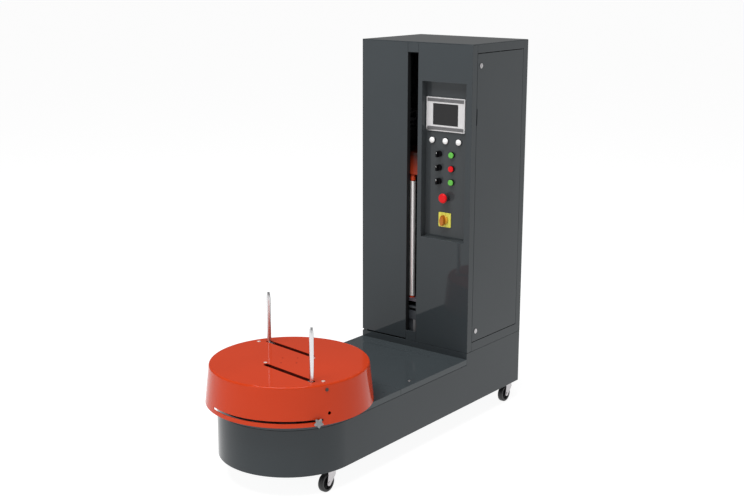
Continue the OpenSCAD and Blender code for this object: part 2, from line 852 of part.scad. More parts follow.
// A quarter-turn lock with a slotted head outside and a tongue inside the door.
module door_lock(z) {
  head_t = 2.5;
  slot = [14, 2.4];
  barrel_l = 24;
  color("silver") translate([half_w, lock_y, z]) {
    rotate([0, 90, 0]) {
      translate([0, 0, clear]) difference() {
        cylinder(r = lock_d / 2, h = head_t);
        translate([-slot[0] / 2, -slot[1] / 2, head_t - 1]) cube([slot[0], slot[1], 2]);
      }
      translate([0, 0, -barrel_l]) cylinder(r = lock_d / 2 - lock_rim, h = barrel_l + clear);
    }
    span([-barrel_l - 2, -6, -8], [-barrel_l + 2, 6, 34]);
  }
}

// ---- Control panel ----

module control_tray() {
  x0 = recess_x - tray_t;
  x1 = recess_x + recess_w + tray_t;
  z0 = recess_z - tray_t;
  z1 = recess_z + recess_h + tray_t;
  color("#45494c") difference() {
    span([x0, front_y + sheet, z0], [x1, panel_y + tray_t, z1]);
    span([recess_x, front_y, recess_z], [recess_x + recess_w, panel_y, recess_z + recess_h]);
    // cut-outs for the devices
    span([panel_x - hmi_w / 2 + 6, panel_y - 1, hmi_z - hmi_h / 2 + 6],
      [panel_x + hmi_w / 2 - 6, panel_y + tray_t + 1, hmi_z + hmi_h / 2 - 6]);
    for (x = lamp_xs) on_panel(panel_x + x, lamp_z) device_hole();
    for (z = row_zs, x = [selector_x, button_x]) on_panel(x, recess_z + z) device_hole();
    on_panel(estop_x, estop_z) device_hole();
    on_panel(switch_x, switch_z) device_hole();
  }
}

module device_hole() {
  translate([0, 0, -tray_t - 1]) cylinder(r = neck_r + 0.15, h = tray_t + 2);
}

screen = [134, 96];
hmi_face = 8;
screen_deep = 2;

module hmi_housing() {
  x = hmi_w / 2;
  y = hmi_h / 2;
  inset = 6.5;
  rib = 3;
  on_panel(panel_x, hmi_z) color("#c9cccd") difference() {
    union() {
      span([-x, -y, 0], [x, y, hmi_face]);
      span([-x + inset, -y + inset, -40], [x - inset, y - inset, 1]);
    }
    span([-screen[0] / 2, -screen[1] / 2, hmi_face - screen_deep], [screen[0] / 2, screen[1] / 2, hmi_face + 1]);
    // ribbed bars along the top and bottom
    for (y0 = [-y + 5, y - 20], i = [0:4]) {
      span([-x + 5, y0 + rib * i, hmi_face - 0.8], [x - 5, y0 + rib * i + rib / 2, hmi_face + 1]);
    }
  }
}

module hmi_screen() {
  x = screen[0] / 2 - 0.2;
  y = screen[1] / 2 - 0.2;
  on_panel(panel_x, hmi_z) color("#2b2b2c")
    span([-x, -y, hmi_face - screen_deep], [x, y, hmi_face - 0.6]);
}

stem_r = 4;
estop_stem_r = 8;
cap_r = 13.2;

module contact_block() {
  span([-15, -20, -42], [15, 20, -8]);
}

// Black body of a panel device: a rim in front and a contact block behind.
module device_body(bore) {
  difference() {
    union() {
      cylinder(r = bezel_r, h = bezel_h);
      translate([0, 0, -10]) cylinder(r = neck_r, h = 11);
      contact_block();
    }
    if (bore > 0) {
      translate([0, 0, 0.5]) cylinder(r = neck_r + 0.6, h = bezel_h + 1);
      translate([0, 0, -24]) cylinder(r = bore, h = 30);
    }
  }
}

module device_bezels() {
  color("#1d1f20") {
    for (x = lamp_xs) on_panel(panel_x + x, lamp_z) device_body(0);
    for (z = row_zs) {
      on_panel(selector_x, recess_z + z) device_body(stem_r + fit);
      on_panel(button_x, recess_z + z) device_body(stem_r + fit);
    }
    // collar of the emergency stop
    on_panel(estop_x, estop_z) difference() {
      union() {
        cylinder(r = 17, h = 14);
        translate([0, 0, -10]) cylinder(r = neck_r, h = 11);
        contact_block();
      }
      translate([0, 0, -24]) cylinder(r = estop_stem_r + fit, h = 40);
    }
  }
}

module pilot_lamps() {
  color("#f2f5f4") for (x = lamp_xs) on_panel(panel_x + x, lamp_z) {
    translate([0, 0, bezel_h]) cylinder(r = cap_r, h = 4);
    translate([0, 0, bezel_h + 4]) intersection() {
      translate([0, 0, -18]) sphere(r = 22);
      cylinder(r = cap_r, h = 6);
    }
  }
}

module push_button(z, tint) {
  color(tint) on_panel(button_x, recess_z + z) {
    translate([0, 0, -14]) cylinder(r = stem_r, h = 20);
    translate([0, 0, 5]) cylinder(r = neck_r, h = 4);
    translate([0, 0, 8.5]) cylinder(r = cap_r, h = 4);
    translate([0, 0, 12.5]) cylinder(r1 = cap_r, r2 = 11.8, h = 1.5);
  }
}

module selector(z) {
  color("#131415") on_panel(selector_x, recess_z + z) {
    translate([0, 0, -14]) cylinder(r = stem_r, h = 20);
    translate([0, 0, bezel_h + clear]) cylinder(r = 13, h = 8);
    span([-4, -13, bezel_h + 6], [4, 13, bezel_h + 23]);
  }
}

module estop_head() {
  mushroom_r = 21.5;
  color("#d9222a") on_panel(estop_x, estop_z) {
    translate([0, 0, -14]) cylinder(r = estop_stem_r, h = 40);
    translate([0, 0, 22]) cylinder(r1 = 14, r2 = mushroom_r, h = 5);
    translate([0, 0, 27]) cylinder(r = mushroom_r, h = 6);
    translate([0, 0, 33]) cylinder(r1 = mushroom_r, r2 = 18, h = 4);
  }
}

module main_switch_plate() {
  color("#e5dc3a") on_panel(switch_x, switch_z) difference() {
    union() {
      span([-switch_size / 2, -switch_size / 2, 0], [switch_size / 2, switch_size / 2, bezel_h]);
      translate([0, 0, -10]) cylinder(r = neck_r, h = 11);
      span([-25, -25, -46], [25, 25, -8]);
    }
    translate([0, 0, -24]) cylinder(r = stem_r + fit, h = 40);
  }
}

module main_switch_handle() {
  color("#d8421f") on_panel(switch_x, switch_z) {
    translate([0, 0, -14]) cylinder(r = stem_r, h = 20);
    translate([0, 0, bezel_h + clear]) cylinder(r = 24, h = 9);
    span([-6.5, -24, bezel_h + 6], [6.5, 24, bezel_h + 28]);
  }
}

// ---- Mast, lift and film carriage ----

module mast() {
  wall = 4;
  z0 = base_top + 12;
  z1 = cab_top - sheet - tube;
  color("#7b8085") translate([mast_x, mast_y, 0]) {
    difference() {
      span([-mast_w / 2, -mast_d / 2, z0], [mast_w / 2, mast_d / 2, z1]);
      span([-mast_w / 2 + wall, -mast_d / 2 + wall, z0 - 1], [mast_w / 2 - wall, mast_d / 2 - wall, z1 + 1]);
    }
    // top bearing bracket of the lift screw
    difference() {
      span([mast_w / 2, -20, z1 - 60], [mast_w / 2 + 70, 20, z1 - 48]);
      translate([screw_x - mast_x, 0, z1 - 70]) cylinder(r = journal_r + fit, h = 40);
    }
  }
}

lift_top = cab_top - sheet - tube - 60;
lift_foot = base_top + 150;

module lift_motor() {
  color("#5f6a73") translate([screw_x, screw_y, 0]) difference() {
    union() {
      span([-38, -38, base_top], [38, 38, base_top + 10]);
      ring(36, 0, base_top + 9, base_top + 90);
      span([-34, -34, base_top + 90], [34, 34, lift_foot - 10]);
    }
    translate([0, 0, lift_foot - 40]) cylinder(r = journal_r + fit, h = 40);
  }
}

module lift_screw() {
  color("#b9bdc0") translate([screw_x, screw_y, 0]) {
    ring(journal_r, 0, lift_foot - 38, lift_foot);
    ring(screw_r, 0, lift_foot - 9, lift_top - 1);
    ring(journal_r, 0, lift_top - 2, lift_top + 14);
  }
}

// Plan of the carriage: a nose at the slot and a body round the film roll, drawn in by an inset.
module carriage_plan(i = 0) {
  polygon([
    [nose_x[0] + i, nose_y + i], [nose_x[1] - i, nose_y + i], [nose_x[1] - i, body_y + i],
    [body_x[1] - i, body_y + i], [body_x[1] - i, back_plate_y - i], [body_x[0] + i, back_plate_y - i],
    [body_x[0] + i, body_y + 60 + i / 2], [nose_x[0] + i, body_y + i / 2]
  ]);
}

module carriage_frame() {
  shoe = 14;
  shoe_h = 80;
  nut_z = car_z + 160;
  nut = 18;
  color("#6d6a72") {
    translate([roller_x, roller_y, 0])
      ring(collar_r, roller_pin_r + fit, car_z + plate_t - 1, car_z + plate_t + boss_h);
    slab(car_z, car_z + plate_t) difference() {
      carriage_plan();
      translate([roller_x, roller_y]) circle(r = roller_pin_r + fit);
      translate([tension_x, tension_y]) circle(r = roller_pin_r + fit);
      translate([mandrel_x, mandrel_y]) circle(r = mandrel_pin_r + fit);
    }
    span([mast_x - 80, back_plate_y, car_z], [mast_x + 80, back_plate_y + 8, head_top]);
    // shoes that wrap the front corners of the mast
    for (z = [car_z + 30, head_top - 125], side = [-1, 1]) {
      x = mast_x + side * (mast_w / 2 + clear);
      span([min(x, x + side * shoe), back_plate_y + 7, z],
        [max(x, x + side * shoe), mast_y + 10, z + shoe_h]);
    }
    difference() {
      span([screw_x - nut, back_plate_y + 7, nut_z], [screw_x + nut, screw_y + nut, nut_z + 40]);
      translate([screw_x, screw_y, nut_z - 1]) cylinder(r = screw_r + fit, h = 42);
    }
  }
}

// Plan of the head: it leaves the space above the mandrel open, for loading the film roll.
module head_plan(i = 0) {
  x1 = mandrel_x - 130;
  polygon([
    [nose_x[0] + i, nose_y + i], [nose_x[1] - i, nose_y + i], [nose_x[1] - i, body_y - i],
    [x1 - i, body_y + 40 - i], [x1 - i, back_plate_y - i], [body_x[0] + i, back_plate_y - i],
    [body_x[0] + i, body_y + 60 + i / 2], [nose_x[0] + i, body_y + i / 2]
  ]);
}

module carriage_head() {
  color("#b8402a") {
    difference() {
      slab(head_z, head_top) head_plan();
      slab(head_z + plate_t, head_top - sheet) head_plan(sheet);
      for (p = [[roller_x, roller_y], [tension_x, tension_y]]) {
        translate([p[0], p[1], head_z - 1]) cylinder(r = roller_pin_r + fit, h = plate_t + 2);
      }
    }
    // collar over the guide roller, on a narrower neck
    translate([roller_x, roller_y, 0]) {
      ring(collar_r, roller_pin_r + fit, head_z - collar_h + 3, head_z - 9);
      ring(collar_r - 3, roller_pin_r + fit, head_z - 10, head_z + 1);
    }
  }
}

module film_roller(r, z0, z1) {
  ring(r, 0, z0, z1);
  ring(roller_pin_r, 0, car_z + 2, head_z + 20);
}

module guide_roller() {
  color("#d8dadb") translate([roller_x, roller_y, 0])
    film_roller(roller_d / 2, roller_z, head_z - collar_h);
}

module tension_roller() {
  color("#2a2c2e") translate([tension_x, tension_y, 0])
    film_roller(28, car_z + plate_t + 6, head_z - 6);
}

module film_mandrel() {
  core_len = 490;
  flange_r = 60;
  z = car_z + plate_t;
  color("#3a3d40") translate([mandrel_x, mandrel_y, 0]) {
    ring(mandrel_pin_r, 0, car_z + 1, z + 5);
    ring(flange_r, 0, z + clear, z + 8);
    ring(mandrel_r, mandrel_r - 4, z + 7, z + core_len);
  }
}

// Film clamp and cutter at the foot of the slot, on a bracket from the base.
module film_cutter_box() {
  z0 = base_top + 97;
  box_h = 62;
  x1 = slot_right + 7;
  color("#3d4144") difference() {
    span([slot_x - 8, front_y + 28, z0], [x1, front_y + 80, z0 + box_h]);
    span([slot_x - 4, front_y + 27, z0 + 40], [x1 - 12, front_y + 60, z0 + 54]);
  }
  // the box stands on a bracket behind the sill
  color("#5a5f62") span([slot_right - 33, front_y + 30, base_top], [slot_right - 19, front_y + 34, z0]);
}

module electrical_plate() {
  x = -half_w + sheet + tube + 2;
  y0 = front_y + 60;
  y1 = back_y - 60;
  drive_z = base_top + 900;
  pitch = 34;
  unit = [50, 27, 90];
  color("#b9bcb8") {
    span([x, y0, base_top + 250], [x + 3, y1, base_top + 1100]);
    // two motor drives
    for (y = [y0 + 20, y0 + 140]) translate([x + 3, y, drive_z]) cube([80, 90, 150]);
    // controller, relays and terminals on three rails
    for (row = [0:2]) {
      z = base_top + 380 + 150 * row;
      span([x + 3, y0 + 15, z + 30], [x + 10, y1 - 15, z + 65]);
      for (i = [0:7]) translate([x + 10, y0 + 25 + i * pitch, z]) cube(unit);
    }
  }
}

base_shell();
base_floor();
front_deck_cover();
rear_deck_cover();
deck_screws();
caster_plates();
caster_fork(swivels[0]);  // caster_fork_1
caster_fork(swivels[1]);  // caster_fork_2
caster_fork(swivels[2]);  // caster_fork_3
caster_fork(swivels[3]);  // caster_fork_4
caster_wheel(swivels[0]);  // caster_wheel_1
caster_wheel(swivels[1]);  // caster_wheel_2
caster_wheel(swivels[2]);  // caster_wheel_3
caster_wheel(swivels[3]);  // caster_wheel_4
turntable_stand();
turntable_motor();
motor_pulley();
turntable_belt();
turntable_spindle();
turntable_drum();
drum_screws();
cam_disc();
star_knob();
drum_pin(0);  // left_pin
drum_pin(180);  // right_pin
cabinet_frame();
left_panel();
right_front_panel();
slot_plates();
right_side_frame();
rear_panel();
cabinet_top();
power_inlet();
side_door();
door_lock(lock_zs[0]);  // upper_lock
door_lock(lock_zs[1]);  // lower_lock
control_tray();
hmi_housing();
hmi_screen();
device_bezels();
pilot_lamps();
push_button(row_zs[0], "#3fae3a");  // button_upper_green
push_button(row_zs[1], "#d9222a");  // button_red
push_button(row_zs[2], "#3fae3a");  // button_lower_green
selector(row_zs[0]);  // selector_upper
selector(row_zs[1]);  // selector_middle
selector(row_zs[2]);  // selector_lower
estop_head();
main_switch_plate();
main_switch_handle();
mast();
lift_motor();
lift_screw();
carriage_frame();
carriage_head();
guide_roller();
tension_roller();
film_mandrel();
film_cutter_box();
electrical_plate();
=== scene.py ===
import json
from math import cos, pi, radians, sin

import bmesh
import bpy
from mathutils import Matrix, Vector


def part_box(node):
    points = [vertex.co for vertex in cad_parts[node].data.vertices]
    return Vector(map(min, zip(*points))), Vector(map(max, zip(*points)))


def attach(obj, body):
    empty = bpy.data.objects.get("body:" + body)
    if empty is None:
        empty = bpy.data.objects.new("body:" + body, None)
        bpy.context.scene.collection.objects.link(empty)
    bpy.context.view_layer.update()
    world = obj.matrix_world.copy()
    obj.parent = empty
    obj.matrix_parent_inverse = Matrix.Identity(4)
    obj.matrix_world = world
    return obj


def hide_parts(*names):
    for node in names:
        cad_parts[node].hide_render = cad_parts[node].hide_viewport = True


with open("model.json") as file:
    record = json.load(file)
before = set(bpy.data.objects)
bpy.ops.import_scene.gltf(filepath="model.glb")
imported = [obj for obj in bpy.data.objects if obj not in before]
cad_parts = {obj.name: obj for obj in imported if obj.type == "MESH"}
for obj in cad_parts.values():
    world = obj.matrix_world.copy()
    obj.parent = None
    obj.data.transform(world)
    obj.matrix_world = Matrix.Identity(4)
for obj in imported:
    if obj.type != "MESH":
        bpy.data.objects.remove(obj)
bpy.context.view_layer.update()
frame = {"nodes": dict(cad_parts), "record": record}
nodes = frame["nodes"]
bodyOf = {n: b for b, members in frame["record"]["behaviour"]["bodies"].items() for n in members}
slotOf = {s["node"]: s["material_slot"] for s in frame["record"]["subparts"]}
boxOf = {n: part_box(n) for n in nodes}


def middleOf(node):
    low, high = boxOf[node]
    return (low + high) / 2


turntable = middleOf("turntable_spindle")

# Camera: looks along +Y, then is turned about Z and tipped down
view = {
    "place": (3.2095, -4.0641, 2.0935),
    "turn": 37.864,
    "tip": 13.464,
    "roll": 0.10,
    "lens": 59.50,
    "sensor": 36.0,
}


def setCamera():
    data = bpy.data.cameras.new("camera")
    data.lens = view["lens"]
    data.sensor_width = view["sensor"]
    data.clip_end = 500
    camera = bpy.data.objects.new("camera", data)
    camera.matrix_world = (
        Matrix.Translation(view["place"])
        @ Matrix.Rotation(radians(view["turn"]), 4, "Z")
        @ Matrix.Rotation(radians(90 - view["tip"]), 4, "X")
        @ Matrix.Rotation(radians(view["roll"]), 4, "Z")
    )
    bpy.context.scene.collection.objects.link(camera)
    bpy.context.scene.camera = camera


setCamera()
print("camera set")


# A node socket that adds Math nodes when it is used in an expression
class Wire:
    def __init__(self, paint, socket):
        self.paint = paint
        self.socket = socket

    def join(self, operation, first, second):
        return self.paint.add("ShaderNodeMath", {"operation": operation}, {0: first, 1: second})

    def __add__(self, other):
        return self.join("ADD", self, other)

    def __radd__(self, other):
        return self.join("ADD", other, self)

    def __sub__(self, other):
        return self.join("SUBTRACT", self, other)

    def __rsub__(self, other):
        return self.join("SUBTRACT", other, self)

    def __mul__(self, other):
        return self.join("MULTIPLY", self, other)

    def __rmul__(self, other):
        return self.join("MULTIPLY", other, self)


# One material: constants go on the shader's own sockets, and nodes come from add()
class Paint:
    def __init__(self, name, color, roughness, metallic=0.0, constants={}):
        self.material = bpy.data.materials.new(name)
        self.material.use_nodes = True
        self.tree = self.material.node_tree
        self.shader = self.tree.nodes["Principled BSDF"]
        self.set("Base Color", (*color, 1))
        self.set("Roughness", roughness)
        self.set("Metallic", metallic)
        for key, value in constants.items():
            self.set(key, value)
        self.place = self.add("ShaderNodeTexCoord", {}, {}, "Object")

    def set(self, socket, value):
        target = self.shader.inputs[socket]
        if isinstance(value, Wire):
            self.tree.links.new(value.socket, target)
        else:
            target.default_value = value

    def add(self, kind, settings, inputs, output=0):
        node = self.tree.nodes.new(kind)
        for key, value in settings.items():
            setattr(node, key, value)
        for key, value in inputs.items():
            if isinstance(value, Wire):
                self.tree.links.new(value.socket, node.inputs[key])
            else:
                node.inputs[key].default_value = value
        return Wire(self, node.outputs[output])

    def noise(self, scale, detail=2.0, roughness=0.5):
        inputs = {"Vector": self.place, "Scale": scale, "Detail": detail, "Roughness": roughness}
        return self.add("ShaderNodeTexNoise", {}, inputs)

    def ramp(self, value, low, high):
        return self.add("ShaderNodeMapRange", {}, {"Value": value, "From Min": low, "From Max": high})

    def mix(self, factor, first, second):
        first = first if isinstance(first, Wire) else (*first, 1)
        second = second if isinstance(second, Wire) else (*second, 1)
        return self.add("ShaderNodeMix", {"data_type": "RGBA"}, {0: factor, 6: first, 7: second}, 2)

    def bump(self, height, distance):
        return self.add("ShaderNodeBump", {}, {"Height": height, "Distance": distance})

    def height(self):
        return self.add("ShaderNodeSeparateXYZ", {}, {0: self.place}, 2)


def shade(color, amount):
    return tuple(min(1.0, c * amount) for c in color)


# Baked coating: fine orange peel, faint clouding and a slightly uneven gloss
def coating(name, color, roughness, specular=0.28, peel=0.000004, cloud=0.03):
    paint = Paint(name, color, roughness, 0.0, {"Specular IOR Level": specular})
    cloudy = paint.ramp(paint.noise(2.6, 3.0), 0.35, 0.65)
    paint.set("Base Color", paint.mix(cloudy, shade(color, 1 - cloud), shade(color, 1 + cloud)))
    paint.set("Roughness", roughness + (paint.noise(17.0, 4.0) - 0.5) * (roughness * 0.5))
    paint.set("Normal", paint.bump(paint.noise(420.0, 1.5), peel))
    return paint.material


# Bright metal: crystalline patches in the tint and in the gloss
def plated(name, color, roughness, grain=0.25, patch=0.1):
    paint = Paint(name, color, roughness, 1.0)
    patches = paint.noise(45.0, 5.0, 0.6)
    paint.set("Base Color", paint.mix(patches, shade(color, 1 - patch), shade(color, 1 + patch)))
    paint.set("Roughness", roughness + (paint.noise(160.0, 3.0) - 0.5) * grain)
    return paint.material


def moulded(name, color, roughness, texture=0.00002, specular=0.4):
    paint = Paint(name, color, roughness, 0.0, {"Specular IOR Level": specular})
    paint.set("Base Color", paint.mix(paint.noise(60.0), shade(color, 0.93), shade(color, 1.06)))
    paint.set("Roughness", roughness + (paint.noise(220.0) - 0.5) * 0.12)
    paint.set("Normal", paint.bump(paint.noise(1600.0), texture))
    return paint.material


# Black rubber with pale dust caught in its texture
def rubber(name, color, roughness):
    paint = Paint(name, color, roughness)
    dust = paint.ramp(paint.noise(38.0, 5.0, 0.62), 0.42, 0.75)
    paint.set("Base Color", paint.mix(dust * 0.4, color, shade(color, 2.4)))
    paint.set("Roughness", roughness + dust * 0.15)
    paint.set("Normal", paint.bump(paint.noise(900.0, 3.0), 0.00006))
    return paint.material


# Red paint, plain on the collar below, with painted shade from there up to the top of the head, darker
# towards the top
def headCoating(name, color, low, high):
    paint = Paint(name, color, 0.3, 0.0, {"Specular IOR Level": 0.2})
    # Painted shade: the head's colour darkens with height, standing in for the shade inside the cabinet
    paintedShade = paint.ramp(paint.height() + (paint.noise(30.0, 3.0) - 0.5) * 0.02, low, high)
    collar = paint.ramp(paint.height(), low - 0.006, low - 0.004)
    painted = paint.mix(paintedShade, shade(color, 0.5), shade(color, 0.03))
    paint.set("Base Color", paint.mix(collar, color, painted))
    return paint.material


# Drum paint, with painted shade on the slot walls and the rails inside: darker and rougher below the top
# sheet within a radius
def drumCoating(name, color, inner, radius, top, axis):
    paint = Paint(name, color, 0.09, 0.0, {"Specular IOR Level": 0.16})
    flat = paint.add("ShaderNodeVectorMath", {"operation": "MULTIPLY"}, {0: paint.place, 1: (1, 1, 0)})
    away = paint.add("ShaderNodeVectorMath", {"operation": "DISTANCE"}, {0: flat, 1: (axis.x, axis.y, 0)}, 1)
    # Painted shade: darker below the top sheet and inside the radius, where the slots look into the drum
    paintedShadeInside = paint.ramp(paint.height(), top, top - 0.0006) * paint.ramp(away, radius, radius - 0.001)
    cloudy = paint.ramp(paint.noise(2.6, 3.0), 0.35, 0.65)
    outer = paint.mix(cloudy, shade(color, 0.97), shade(color, 1.03))
    paint.set("Base Color", paint.mix(paintedShadeInside, outer, inner))
    paint.set("Roughness", 0.09 + (paint.noise(17.0, 4.0) - 0.5) * 0.045 + paintedShadeInside * 0.5)
    paint.set("Normal", paint.bump(paint.noise(420.0, 1.5), 0.000004))
    return paint.material


# Pale zinc screw heads on the drum's top, and brown ones lower down on its skirt
def screwMetal(name, color, brown, above):
    paint = Paint(name, color, 0.5, 0.3)
    onTop = paint.ramp(paint.height(), above - 0.001, above)
    paint.set("Base Color", paint.mix(onTop, brown, color))
    paint.set("Metallic", onTop * 0.2 + 0.3)
    paint.set("Roughness", 0.5 + (paint.noise(160.0) - 0.5) * 0.2)
    return paint.material


# Black bezels, and dark grey ones below a height, where the emergency stop is
def bezelPlastic(name, color, grey, above):
    paint = Paint(name, color, 0.5, 0.0, {"Specular IOR Level": 0.12})
    high = paint.ramp(paint.height(), above - 0.001, above)
    paint.set("Base Color", paint.mix(high, grey, color))
    return paint.material


# Ground steel, half mirror and half satin
def rollerSteel(name, color):
    paint = Paint(name, color, 0.3, 0.55)
    paint.set("Roughness", 0.3 + (paint.noise(90.0) - 0.5) * 0.05)
    return paint.material


orange = (0.61, 0.05, 0.011)
finishes = {
    "grey_paint": coating("greyPaint", (0.042, 0.05, 0.055), 0.04, 0.24),
    "orange_paint": coating("orangePaint", orange, 0.09, 0.16),
    "zinc_plate": plated("zincPlate", (0.52, 0.505, 0.515), 0.34),
    "wheel_rubber": rubber("wheelRubber", (0.012, 0.012, 0.013), 0.42),
    "frame_paint": coating("framePaint", (0.1, 0.11, 0.12), 0.4),
    "machine_paint": coating("machinePaint", (0.06, 0.09, 0.12), 0.35),
    "machined_steel": plated("machinedSteel", (0.44, 0.45, 0.46), 0.34),
    "belt_rubber": rubber("beltRubber", (0.02, 0.02, 0.022), 0.55),
    "knob_grey": moulded("knobGrey", (0.27, 0.28, 0.285), 0.4),
    "polished_chrome": plated("polishedChrome", (0.7, 0.7, 0.71), 0.27, 0.02, 0.02),
    "black_plastic": moulded("blackPlastic", (0.005, 0.005, 0.006), 0.55, 0.00002, 0.08),
    "silver_plastic": moulded("silverPlastic", (0.66, 0.66, 0.665), 0.3, 0.000005),
    "screen_glass": moulded("screenGlass", (0.02, 0.02, 0.021), 0.1, 0.0, 0.25),
    "lamp_white": moulded("lampWhite", (0.94, 0.95, 0.945), 0.2, 0.0),
    "button_green": moulded("buttonGreen", (0.13, 0.5, 0.075), 0.34, 0.0, 0.2),
    "button_red": moulded("buttonRed", (0.72, 0.01, 0.014), 0.34, 0.0, 0.15),
    "switch_yellow": moulded("switchYellow", (0.76, 0.72, 0.1), 0.4),
    "switch_orange": moulded("switchOrange", (0.52, 0.16, 0.012), 0.36),
    "cutter_grey": coating("cutterGrey", (0.05, 0.056, 0.064), 0.3),
    "electrical_grey": moulded("electricalGrey", (0.04, 0.042, 0.043), 0.5),
}
# Heights and a radius at which a finish changes
changeAt = {
    "headDark": 1.128, "headTop": 0.012, "skirt": 0.472, "underTop": 0.322, "topSheet": 0.0004, "stop": 1.08,
}
ownFinish = {
    # The carriage head: painted shade darkens its upper part
    "carriage_head": headCoating(
        "headPaint", (0.6, 0.06, 0.016), changeAt["headDark"],
        boxOf["carriage_head"][1].z - changeAt["headTop"],
    ),
    "drum_screws": screwMetal(
        "drumScrewMetal", (0.85, 0.7, 0.64), (0.07, 0.045, 0.038), changeAt["skirt"]
    ),
    # The drum's darker inner colour is painted shade for its slot walls and rails
    "turntable_drum": drumCoating(
        "drumPaint", orange, (0.16, 0.012, 0.006), changeAt["underTop"],
        boxOf["turntable_drum"][1].z - changeAt["topSheet"], turntable,
    ),
    "control_tray": coating("trayPaint", (0.052, 0.059, 0.063), 0.04, 0.22),
    "device_bezels": bezelPlastic(
        "bezelPlastic", (0.005, 0.005, 0.006), (0.04, 0.037, 0.04), changeAt["stop"]
    ),
    # The deck covers: a lighter copy of the grey paint, as painted light on the deck
    "front_deck_cover": coating("frontDeckPaint", (0.055, 0.066, 0.072), 0.06),
    "rear_deck_cover": coating("rearDeckPaint", (0.055, 0.066, 0.072), 0.06),
    "guide_roller": rollerSteel("rollerSteel", (0.9, 0.89, 0.88)),
    "carriage_frame": coating("carriagePaint", (0.1, 0.09, 0.11), 0.35),
}
ribGrey = moulded("ribGrey", (0.17, 0.17, 0.175), 0.4, 0.0)
amber = moulded("switchAmber", (0.72, 0.4, 0.035), 0.36, 0.0)
# Black rubber for the door gasket, and as painted shade on the film slot's folds
gasketAndShadeStrip = moulded("gasketRubberAndShadeStrip", (0.012, 0.013, 0.014), 0.6)
bracketGrey = moulded("bracketGrey", (0.13, 0.13, 0.135), 0.5)
print("finishes made")


def addPiece(name, mesh, body, slot, material=None, stands=()):
    obj = bpy.data.objects.new(name, mesh)
    bpy.context.scene.collection.objects.link(obj)
    mesh.materials.clear()
    mesh.materials.append(material or finishes[slot])
    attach(obj, body)
    if stands:
        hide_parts(*stands)
    return obj


def soften(obj, edge, segments, angle):
    bevel = obj.modifiers.new("edges", "BEVEL")
    bevel.width = edge
    bevel.segments = segments
    bevel.limit_method = "ANGLE"
    bevel.angle_limit = radians(angle)
    flat = obj.modifiers.new("flat", "WEIGHTED_NORMAL")
    flat.keep_sharp = True
    return obj


# A merged copy of a CAD node with softened edges
def dress(node, edge, material=None, segments=2, angle=32):
    bm = bmesh.new()
    bm.from_mesh(nodes[node].data)
    bmesh.ops.remove_doubles(bm, verts=bm.verts, dist=1e-5)
    bmesh.ops.dissolve_limit(bm, angle_limit=radians(0.6), verts=bm.verts, edges=bm.edges)
    mesh = bpy.data.meshes.new(node + "Dressed")
    bm.to_mesh(mesh)
    bm.free()
    mesh.shade_smooth()
    mesh.set_sharp_from_angle(angle=radians(angle))
    obj = addPiece(node + "Dressed", mesh, bodyOf[node], slotOf[node], material, [node])
    return soften(obj, edge, segments, angle) if edge else obj


# Mesh builders: each adds to a bmesh, and finishMesh turns the whole into one piece
def addBox(bm, low, high, edge=0.0, segments=2):
    low, high = Vector(low), Vector(high)
    shape = Matrix.Translation((low + high) / 2) @ Matrix.Diagonal((*(high - low), 1))
    made = bmesh.ops.create_cube(bm, size=1, matrix=shape)
    if edge:
        sides = {e for v in made["verts"] for e in v.link_edges}
        bmesh.ops.bevel(
            bm, geom=list(sides), offset=edge, segments=segments, profile=0.5, affect="EDGES", material=-1
        )


# Turns a profile of (radius, height) pairs round the local Z axis of a matrix
def addLathe(bm, profile, steps, matrix=Matrix()):
    points = [bm.verts.new((r, 0, z)) for r, z in profile]
    lines = [bm.edges.new(pair) for pair in zip(points, points[1:])]
    bmesh.ops.spin(
        bm, geom=points + lines, cent=(0, 0, 0), axis=(0, 0, 1), angle=2 * pi, steps=steps, use_merge=True
    )
    made = [v for v in bm.verts if not v.tag]
    bmesh.ops.remove_doubles(bm, verts=made, dist=1e-6)
    made = [v for v in bm.verts if not v.tag]
    bmesh.ops.transform(bm, matrix=matrix, verts=made)
    for v in made:
        v.tag = True


def addPrism(bm, outline, low, high, edge, segments, matrix=Matrix()):
    ring = [bm.verts.new((x, y, low)) for x, y in outline]
    face = bm.faces.new(ring)
    grown = bmesh.ops.extrude_face_region(bm, geom=[face])
    top = [v for v in grown["geom"] if isinstance(v, bmesh.types.BMVert)]
    bmesh.ops.translate(bm, verts=top, vec=(0, 0, high - low))
    lid = [e for e in grown["geom"] if isinstance(e, bmesh.types.BMEdge)]
    made = ring + top
    if edge:
        rounded = bmesh.ops.bevel(
            bm, geom=lid, offset=edge, segments=segments, profile=0.5, affect="EDGES", material=-1
        )
        made = list({*[v for v in made if v.is_valid], *rounded["verts"]})
    bmesh.ops.transform(bm, matrix=matrix, verts=made)


def finishMesh(bm, name, angle=35):
    bmesh.ops.recalc_face_normals(bm, faces=bm.faces)
    mesh = bpy.data.meshes.new(name)
    bm.to_mesh(mesh)
    bm.free()
    mesh.shade_smooth()
    mesh.set_sharp_from_angle(angle=radians(angle))
    return mesh


def finishPiece(bm, name, body, slot, material=None, stands=()):
    return addPiece(name, finishMesh(bm, name), body, slot, material, stands)


